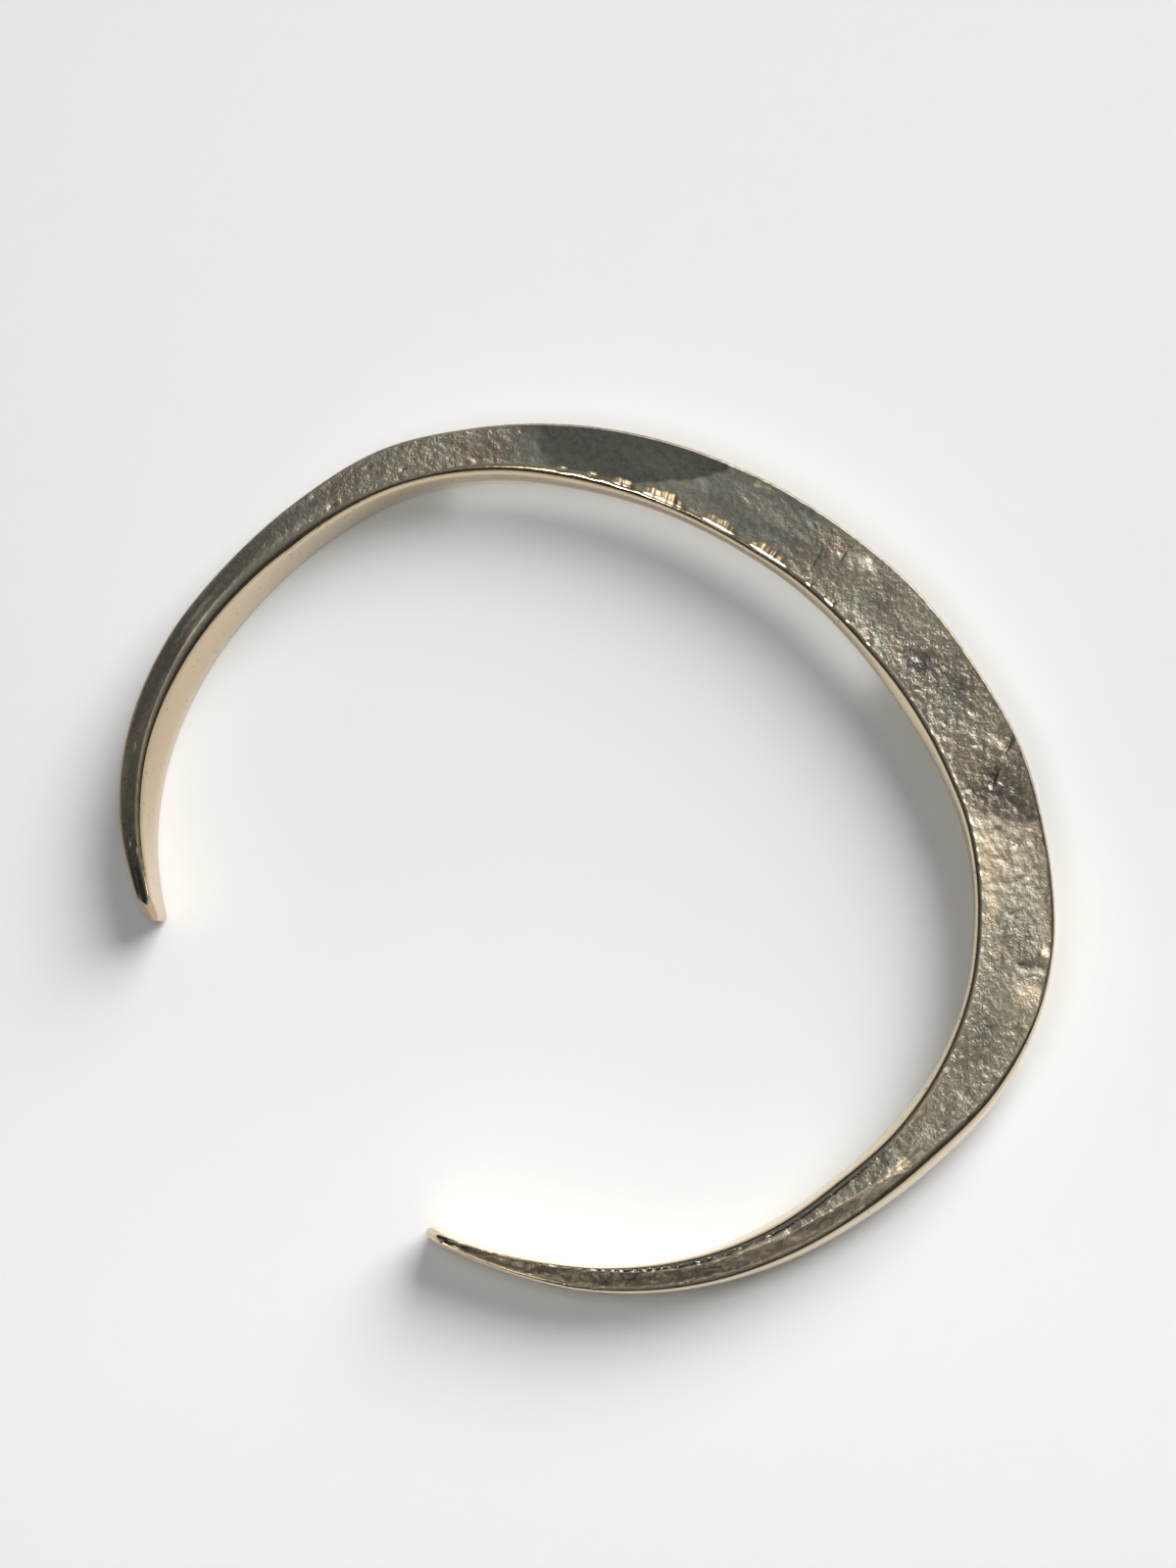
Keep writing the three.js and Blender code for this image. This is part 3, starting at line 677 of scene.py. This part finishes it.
def forged_silver(settings):
    """Forged sterling silver, hammered on its face and burnished on its walls.

    Burnishing leaves the walls nearly mirror-smooth, with a few scale pits. The hammered face is
    satin, yellowed by tarnish on its high parts and darkened by it in its valleys.
    """
    material, tree, shader = new_material("forged_sterling_silver")
    shader.inputs["Metallic"].default_value = 1.0

    place_on = node(tree, "ShaderNodeTexCoord").outputs["Object"]
    painted = {key: node(tree, "ShaderNodeAttribute", attribute_name=key).outputs["Fac"]
               for key in ("face", "grain", "rough", "dark", "warm", "depth", "stain")}

    # Clouds of tarnish a millimetre and a half across, the mottle of the hammered skin at half a
    # millimetre, and a grit that the eye reads as sparkle.
    clouds = node(tree, "ShaderNodeTexNoise", {
        "Vector": place_on, "Scale": 1 / (1.5 * MM), "Detail": 4.0, "Roughness": 0.6,
        "Distortion": 0.4}).outputs["Fac"]
    mottle = node(tree, "ShaderNodeTexNoise", {
        "Vector": place_on, "Scale": 1 / (0.5 * MM), "Detail": 4.0,
        "Roughness": 0.65}).outputs["Fac"]
    grit = node(tree, "ShaderNodeTexNoise", {
        "Vector": place_on, "Scale": 1 / (0.17 * MM), "Detail": 2.0,
        "Roughness": 0.6}).outputs["Fac"]

    # Brown and green-grey tarnish drift into each other across the face.
    drift = node(tree, "ShaderNodeMapRange", {
        "Value": clouds, "From Min": 0.40, "From Max": 0.60, "To Min": -0.35, "To Max": 0.45})
    warm = node(tree, "ShaderNodeMath", {0: painted["warm"], 1: drift.outputs["Result"]},
                operation="ADD", use_clamp=True).outputs[0]
    hammered = node(tree, "ShaderNodeMix", {
        0: warm, 6: (*settings.hammered, 1), 7: (*settings.brown, 1)}, data_type="RGBA").outputs[2]

    # Dark tarnish gathers in clouds and settles in the valleys; where the painted dark runs below
    # zero it gives way to bright silver.
    cloudy = node(tree, "ShaderNodeMapRange", {
        "Value": mottle, "From Min": 0.35, "From Max": 0.65, "To Min": -0.30, "To Max": 0.30})
    valley = node(tree, "ShaderNodeMapRange", {
        "Value": painted["depth"], "From Min": 0.09, "From Max": 0.26, "To Min": 0.0,
        "To Max": 0.5})
    settled = node(tree, "ShaderNodeMath", {
        0: cloudy.outputs["Result"], 1: valley.outputs["Result"]}, operation="ADD").outputs[0]
    dark = node(tree, "ShaderNodeMath", {0: painted["dark"], 1: settled},
                operation="ADD", use_clamp=True).outputs[0]
    tarnished = node(tree, "ShaderNodeMix", {
        0: dark, 6: hammered, 7: (*settings.tarnish, 1)}, data_type="RGBA").outputs[2]
    # Silver where the dark is below zero is partly wear and partly painted highlight: the bright
    # lines along crests and rims, and the glint patches.
    rubbed_and_highlight = node(tree, "ShaderNodeMapRange", {
        "Value": painted["dark"], "From Min": 0.0, "From Max": -0.6, "To Min": 0.0, "To Max": 0.9})
    hammered = node(tree, "ShaderNodeMix", {
        0: rubbed_and_highlight.outputs["Result"], 6: tarnished, 7: (*settings.silver, 1)},
        data_type="RGBA").outputs[2]

    # Scale pits: dark specks up to 0.3 mm wide, in drifts along the polished walls.
    specks = node(tree, "ShaderNodeTexVoronoi", {
        "Vector": place_on, "Scale": 1 / (0.6 * MM), "Randomness": 1.0}).outputs["Distance"]
    pit = node(tree, "ShaderNodeMapRange", {
        "Value": specks, "From Min": 0.25, "From Max": 0.15, "To Min": 0.0, "To Max": 0.55})
    drifts = node(tree, "ShaderNodeMapRange", {
        "Value": clouds, "From Min": 0.46, "From Max": 0.56})
    pits = node(tree, "ShaderNodeMath", {
        0: pit.outputs["Result"], 1: drifts.outputs["Result"]}, operation="MULTIPLY").outputs[0]
    yellowed = node(tree, "ShaderNodeMix", {
        0: painted["stain"], 6: (*settings.silver, 1), 7: (*settings.stain, 1)},
        data_type="RGBA").outputs[2]
    burnished = node(tree, "ShaderNodeMix", {
        0: pits, 6: yellowed, 7: (*settings.tarnish, 1)}, data_type="RGBA").outputs[2]
    colour = node(tree, "ShaderNodeMix", {
        0: painted["face"], 6: burnished, 7: hammered}, data_type="RGBA").outputs[2]
    tree.links.new(colour, shader.inputs["Base Color"])

    # The polish is uneven, so that highlights break up instead of running as clean lines.
    uneven = node(tree, "ShaderNodeMapRange", {
        "Value": mottle, "From Min": 0.35, "From Max": 0.70, "To Min": -0.03, "To Max": 0.05})
    rough = node(tree, "ShaderNodeMath", {0: painted["rough"], 1: uneven.outputs["Result"]},
                 operation="ADD").outputs[0]
    tree.links.new(rough, shader.inputs["Roughness"])

    # Skin of the hammered face: pits and beads from about a sixth to half a millimetre.
    beads = node(tree, "ShaderNodeMath", {0: mottle, 1: 2.0}, operation="MULTIPLY").outputs[0]
    skin = node(tree, "ShaderNodeMath", {0: beads, 1: grit}, operation="ADD").outputs[0]
    bump = node(tree, "ShaderNodeBump", {
        "Strength": painted["grain"], "Distance": 0.045 * MM, "Height": skin})
    # Faint waves left by the burnisher over everything.
    waves = node(tree, "ShaderNodeBump", {
        "Strength": 0.12, "Distance": 0.02 * MM, "Height": mottle,
        "Normal": bump.outputs["Normal"]})
    tree.links.new(waves.outputs["Normal"], shader.inputs["Normal"])
    return material


def matt_board(settings):
    """Matt white laminated board with no shine, painted lighter towards its near side as painted
    light.
    """
    material, tree, shader = new_material("matt_white_board")
    place_on = node(tree, "ShaderNodeTexCoord").outputs["Object"]
    # Painted light: the board is painted a little lighter towards the near side, as if more light
    # fell there.
    nearer = node(tree, "ShaderNodeVectorMath", {0: place_on, 1: (0.8, -0.6, 0.0)},
                  operation="DOT_PRODUCT").outputs["Value"]
    painted_brightening = node(tree, "ShaderNodeMapRange", {
        "Value": nearer, "From Min": -10 * MM, "From Max": 40 * MM},
        interpolation_type="SMOOTHSTEP")
    pale = node(tree, "ShaderNodeMix", {
        0: painted_brightening.outputs["Result"], 6: (*settings.floor, 1),
        7: (*(min(c * NEAR_PAINTED_BRIGHTENING, 1) for c in settings.floor), 1)}, data_type="RGBA").outputs[2]
    tree.links.new(pale, shader.inputs["Base Color"])
    shader.inputs["Roughness"].default_value = 0.75
    shader.inputs["Specular IOR Level"].default_value = 0.2
    return material


def floor_mesh():
    """Round floor that is flat in the middle and sweeps up into a low rim, by the square of the
    distance past the flat, as rings round a pole."""
    flat, swept = np.linspace(0.05, FLOOR_FLAT, 12), np.linspace(0.78, FLOOR_EDGE, 16)
    out = np.concatenate([flat, swept])
    turn = np.linspace(0, 2 * math.pi, 97)[:-1]
    r, a = np.meshgrid(out, turn, indexing="ij")
    z = FLOOR_SWEEP * np.clip(r - FLOOR_FLAT, 0, None) ** 2
    rings = np.stack([r * np.cos(a), r * np.sin(a), z], axis=-1)
    count, around = rings.shape[:2]
    quads = ring_quads(count, around)
    j = np.arange(around)
    fan = np.stack([np.full(around, count * around), j, (j + 1) % around], axis=-1)
    mesh = bpy.data.meshes.new("floor")
    vertices = np.vstack([rings.reshape(-1, 3), [[0, 0, 0]]])
    mesh.from_pydata(vertices.tolist(), [], quads.tolist() + fan.tolist())
    mesh.shade_smooth()
    return mesh


def area_light(name, bearing, elevation, distance, size, power, colour):
    """Round light aimed at the origin from a bearing and an elevation, in degrees.

    distance and size, its diameter, are in metres.
    """
    data = bpy.data.lights.new(name, "AREA")
    data.shape = "DISK"
    data.size = size
    data.energy = power
    data.color = colour
    lamp = place(name, data)
    a, e = math.radians(90 + bearing), math.radians(elevation)
    way = Vector((math.cos(a) * math.cos(e), math.sin(a) * math.cos(e), math.sin(e)))
    lamp.location = way * distance
    lamp.rotation_euler = way.to_track_quat("Z", "Y").to_euler()
    return lamp


def wall_bounce(power):
    """Row of small discs just inside the back wall, facing down.

    They stand in for the light that the polished wall throws on the board.
    """
    lights = []
    for i, bearing in enumerate(np.linspace(*BOUNCE_SPAN, BOUNCE_DISCS)):
        radius = read_table(PLAN, "inner", bearing) - read_table(PLAN, "flare_in", bearing)
        disc = area_light(f"wall_bounce_{i}", 0, 90, 1.0, BOUNCE_SIZE * MM,
                          power / BOUNCE_DISCS, linear("FFFFFF"))
        a = math.radians(90 + bearing)
        away = Vector((math.cos(a), math.sin(a), 0)) * (radius - BOUNCE_INSET)
        disc.location = (away + Vector((0, 0, BOUNCE_HEIGHT))) * MM
        lights.append(disc)
    return lights


def studio_world():
    """Room round the cuff: dark at the horizon, paler and a little cooler towards the ceiling."""
    world = bpy.data.worlds.new("studio")
    world.use_nodes = True
    tree = world.node_tree
    tree.nodes.clear()
    way = node(tree, "ShaderNodeTexCoord").outputs["Generated"]
    up = node(tree, "ShaderNodeSeparateXYZ", {"Vector": way}).outputs["Z"]
    ramp = node(tree, "ShaderNodeValToRGB", {"Fac": up})
    stops = ((0.00, "303030"), (0.50, "383838"), (0.80, "454545"), (0.90, "5E6264"),
             (0.96, "70777D"), (1.00, "70797F"))
    marks = ramp.color_ramp.elements
    for _ in range(len(stops) - 2):
        marks.new(0.5)
    for mark, (position, colour) in zip(marks, stops):
        mark.position = position
        mark.color = (*linear(colour), 1)
    back = node(tree, "ShaderNodeBackground", {"Color": ramp.outputs["Color"], "Strength": 1.0})
    node(tree, "ShaderNodeOutputWorld", {"Surface": back.outputs["Background"]})
    bpy.context.scene.world = world


class CuffSettings(bpy.types.PropertyGroup):
    """Finish of the cuff."""
    relief: bpy.props.FloatProperty(
        name="Relief", description="Strength of the hammered lumps and wrinkles",
        default=1.0, min=0.0, max=2.0, subtype="FACTOR")
    wall_roughness: bpy.props.FloatProperty(
        name="Wall roughness", description="Roughness of the burnished walls",
        default=0.12, min=0.02, max=0.6, subtype="FACTOR")
    outside_roughness: bpy.props.FloatProperty(
        name="Outside roughness", description="Roughness of the outer wall round the back",
        default=0.5, min=0.02, max=0.8, subtype="FACTOR")
    silver: bpy.props.FloatVectorProperty(
        name="Burnished silver", description="Colour of the polished walls",
        default=linear("E0CFB2"), size=3, min=0, max=1, subtype="COLOR")
    stain: bpy.props.FloatVectorProperty(
        name="Wall stain", description="Colour the polished walls have yellowed to in places",
        default=linear("A88C66"), size=3, min=0, max=1, subtype="COLOR")
    hammered: bpy.props.FloatVectorProperty(
        name="Hammered silver", description="Colour of the hammered face",
        default=linear("BCB7A4"), size=3, min=0, max=1, subtype="COLOR")
    brown: bpy.props.FloatVectorProperty(
        name="Brown tarnish", description="Colour of the warmer stretches of the face",
        default=linear("BFAE97"), size=3, min=0, max=1, subtype="COLOR")
    tarnish: bpy.props.FloatVectorProperty(
        name="Dark tarnish", description="Colour of valleys, pits and dark stretches",
        default=linear("6B6860"), size=3, min=0, max=1, subtype="COLOR")


class StageSettings(bpy.types.PropertyGroup):
    """Floor, lights and camera."""
    floor: bpy.props.FloatVectorProperty(
        name="Floor", description="Colour of the board the cuff lies on",
        default=linear("F1F1F0"), size=3, min=0, max=1, subtype="COLOR")
    key_power: bpy.props.FloatProperty(
        name="Key light", description="Power of the large softbox", default=27.5, min=0.0,
        unit="POWER")
    lamp_power: bpy.props.FloatProperty(
        name="Lamp", description="Power of the small warm lamp", default=0.38, min=0.0,
        unit="POWER")
    fill_power: bpy.props.FloatProperty(
        name="Board fill", description="Power of the low fill that reaches only the board",
        default=0.050, min=0.0, unit="POWER")
    bounce_power: bpy.props.FloatProperty(
        name="Wall bounce", description="Light thrown on the board by the polished back wall",
        default=0.00016, min=0.0, precision=5, unit="POWER")
    distance: bpy.props.FloatProperty(
        name="Camera distance", description="From the camera to the point it looks at",
        default=0.27, min=0.05, unit="LENGTH", subtype="DISTANCE")
    azimuth: bpy.props.FloatProperty(
        name="Azimuth", description="Side the camera stands on: 0 at the opening, 90 at the right",
        default=math.radians(90.7), unit="ROTATION", subtype="ANGLE")
    elevation: bpy.props.FloatProperty(
        name="Elevation", description="Height of the camera above the floor as an angle",
        default=math.radians(83.2), unit="ROTATION", subtype="ANGLE")
    up_bearing: bpy.props.FloatProperty(
        name="Up", description="Bearing on the floor that points up in the frame",
        default=math.radians(52.8), unit="ROTATION", subtype="ANGLE")


class CUFF_OT_forge(bpy.types.Operator):
    """Make the forged cuff and its silver"""
    bl_idname = "cuff.forge"
    bl_label = "Forge the cuff"

    def execute(self, context):
        settings = context.scene.cuff_finish
        points, painted = bar_surface(settings)
        low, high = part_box(NODE)
        middle = (points.reshape(-1, 3).min(axis=0) + points.reshape(-1, 3).max(axis=0)) / 2
        points[..., 0] += (low[0] + high[0]) / 2 / MM - middle[0]
        points[..., 1] += (low[1] + high[1]) / 2 / MM - middle[1]
        mesh = closed_bar("hammered_cuff", points * MM, painted)
        mesh.materials.append(forged_silver(settings))
        cuff = place("hammered_cuff", mesh)
        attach(cuff, "root")
        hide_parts(NODE)
        return {"FINISHED"}


class CUFF_OT_stage(bpy.types.Operator):
    """Lay the floor, hang the lights and place the camera"""
    bl_idname = "cuff.stage"
    bl_label = "Set the stage"

    def execute(self, context):
        settings = context.scene.cuff_stage
        floor = place("floor", floor_mesh())
        floor.data.materials.append(matt_board(settings))
        studio_world()
        area_light("key_softbox", 12, 37, 1.5, 1.2, settings.key_power, linear("FFFFFF"))
        lamp = area_light("glint_lamp", -157, 60, 0.55, 0.05, settings.lamp_power,
                          linear("FFF0D8"))
        fill = area_light("board_fill", 180, 82, 0.16, 0.06, settings.fill_power,
                          linear("FFFFFF"))
        for lit, lights in ((bpy.data.objects.get("hammered_cuff"), [lamp]),
                            (floor, [fill, *wall_bounce(settings.bounce_power)])):
            if lit:
                only = bpy.data.collections.new("lit_" + lit.name)
                only.objects.link(lit)
                for light in lights:
                    light.light_linking.receiver_collection = only

        data = bpy.data.cameras.new("camera")
        data.lens = LENS
        data.sensor_width = SENSOR
        camera = place("camera", data)
        a, e = settings.azimuth, settings.elevation
        away = Vector((math.sin(a) * math.cos(e), -math.cos(a) * math.cos(e), math.sin(e)))
        target = Vector(CAMERA_TARGET) * MM
        up_angle = math.radians(90) + settings.up_bearing
        up = Vector((math.cos(up_angle), math.sin(up_angle), 0))
        right = up.cross(away).normalized()
        up = away.cross(right)
        turn = Matrix((right, up, away)).transposed().to_4x4()
        camera.matrix_world = Matrix.Translation(target + away * settings.distance) @ turn
        context.scene.camera = camera
        context.scene.view_settings.view_transform = "Standard"
        return {"FINISHED"}


class CUFF_PT_panel(bpy.types.Panel):
    """Steps and settings of the cuff"""
    bl_idname = "CUFF_PT_panel"
    bl_label = "Hammered cuff"
    bl_space_type = "VIEW_3D"
    bl_region_type = "UI"
    bl_category = "Cuff"

    def draw(self, context):
        for group, operator in ((context.scene.cuff_finish, CUFF_OT_forge),
                                (context.scene.cuff_stage, CUFF_OT_stage)):
            box = self.layout.box()
            for key in group.bl_rna.properties.keys():
                if key not in ("rna_type", "name"):
                    box.prop(group, key)
            box.operator(operator.bl_idname)


CLASSES = (CuffSettings, StageSettings, CUFF_OT_forge, CUFF_OT_stage, CUFF_PT_panel)


def register():
    for cls in CLASSES:
        bpy.utils.register_class(cls)
    bpy.types.Scene.cuff_finish = bpy.props.PointerProperty(type=CuffSettings)
    bpy.types.Scene.cuff_stage = bpy.props.PointerProperty(type=StageSettings)


def unregister():
    del bpy.types.Scene.cuff_stage
    del bpy.types.Scene.cuff_finish
    for cls in reversed(CLASSES):
        bpy.utils.unregister_class(cls)


def main():
    register()
    bpy.ops.cuff.forge()
    bpy.ops.cuff.stage()
    bpy.context.view_layer.update()


if __name__ == "__main__":
    main()
